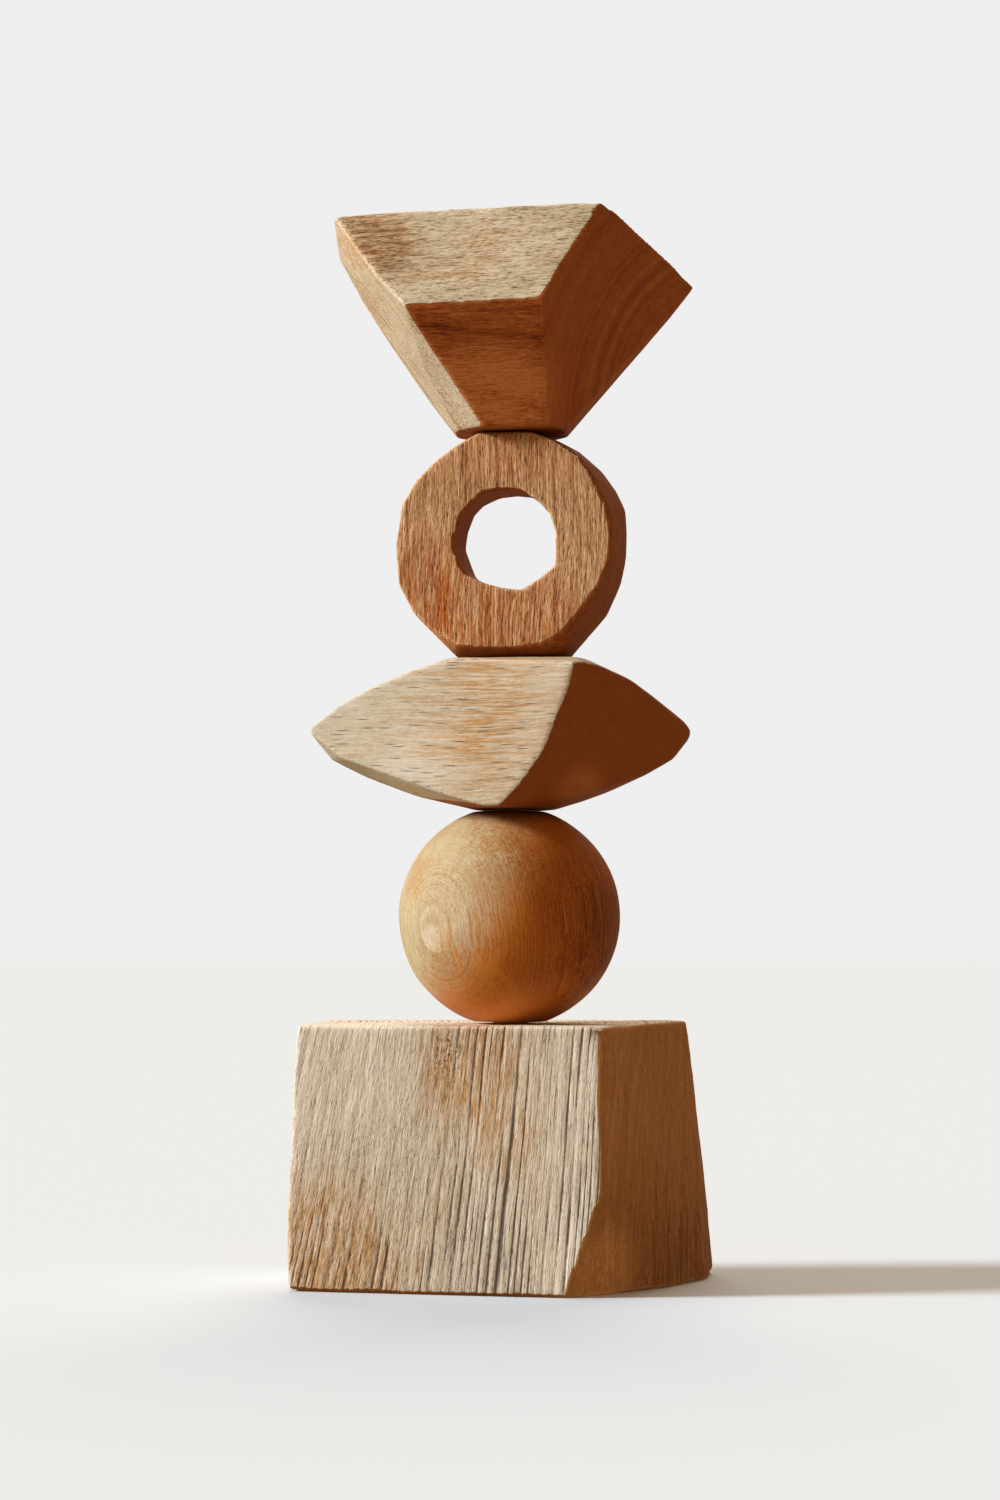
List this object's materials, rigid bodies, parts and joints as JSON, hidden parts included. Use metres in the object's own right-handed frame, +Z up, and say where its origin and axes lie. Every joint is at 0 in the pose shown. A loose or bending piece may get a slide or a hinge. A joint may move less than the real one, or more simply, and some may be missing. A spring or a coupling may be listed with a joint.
{
  "type": "stacked wooden totem",
  "caption": "Tabletop totem of hand-carved wooden blocks: base, ball, pointed lens, ring and faceted crown, held in line by loose dowels.",
  "frame": {"origin": "where the upright axis of the stack meets the floor, on the underside of the base", "axes": "+Z up along the stack, -Y towards the front, +X to the right seen from the front"},
  "size_m": [0.1496, 0.109, 0.3742],
  "materials": {
    "weathered_oak": "matt, raised grain",
    "honey_oak": "oiled, smooth",
    "pale_oak": "matt, open pores",
    "red_oak": "matt, rough sawn",
    "crown_oak": "matt, open pores",
    "beech": "smooth, plain"
  },
  "bodies": {
    "base_body": {"base_block": "weathered_oak"},
    "lower_pin": {"dowel_base_ball": "beech"},
    "ball_body": {"ball": "honey_oak"},
    "ball_pin": {"dowel_ball_lens": "beech"},
    "lens_body": {"lens": "pale_oak"},
    "lens_pin": {"dowel_lens_ring": "beech"},
    "ring_body": {"ring": "red_oak"},
    "ring_pin": {"dowel_ring_crown": "beech"},
    "crown_body": {"crown": "crown_oak"}
  },
  "joints": [
    {"name": "ball_turn", "type": "hinge", "parent": "base_body", "child": "lower_pin", "pos_m": [0, 0, 0.0912], "axis": [0, 0, 1], "continuous": true},
    {"name": "ball_lift", "type": "slide", "parent": "lower_pin", "child": "ball_body", "axis": [0, 0, 1], "range_m": [0, 0.024]},
    {"name": "lens_turn", "type": "hinge", "parent": "ball_body", "child": "ball_pin", "pos_m": [0, 0, 0.1647], "axis": [0, 0, 1], "continuous": true},
    {"name": "lens_lift", "type": "slide", "parent": "ball_pin", "child": "lens_body", "axis": [0, 0, 1], "range_m": [0, 0.024]},
    {"name": "ring_turn", "type": "hinge", "parent": "lens_body", "child": "lens_pin", "pos_m": [0, 0, 0.2172], "axis": [0, 0, 1], "continuous": true},
    {"name": "ring_lift", "type": "slide", "parent": "lens_pin", "child": "ring_body", "axis": [0, 0, 1], "range_m": [0, 0.014]},
    {"name": "crown_turn", "type": "hinge", "parent": "ring_body", "child": "ring_pin", "pos_m": [0, 0, 0.2956], "axis": [0, 0, 1], "continuous": true},
    {"name": "crown_lift", "type": "slide", "parent": "ring_pin", "child": "crown_body", "axis": [0, 0, 1], "range_m": [0, 0.02]}
  ]
}
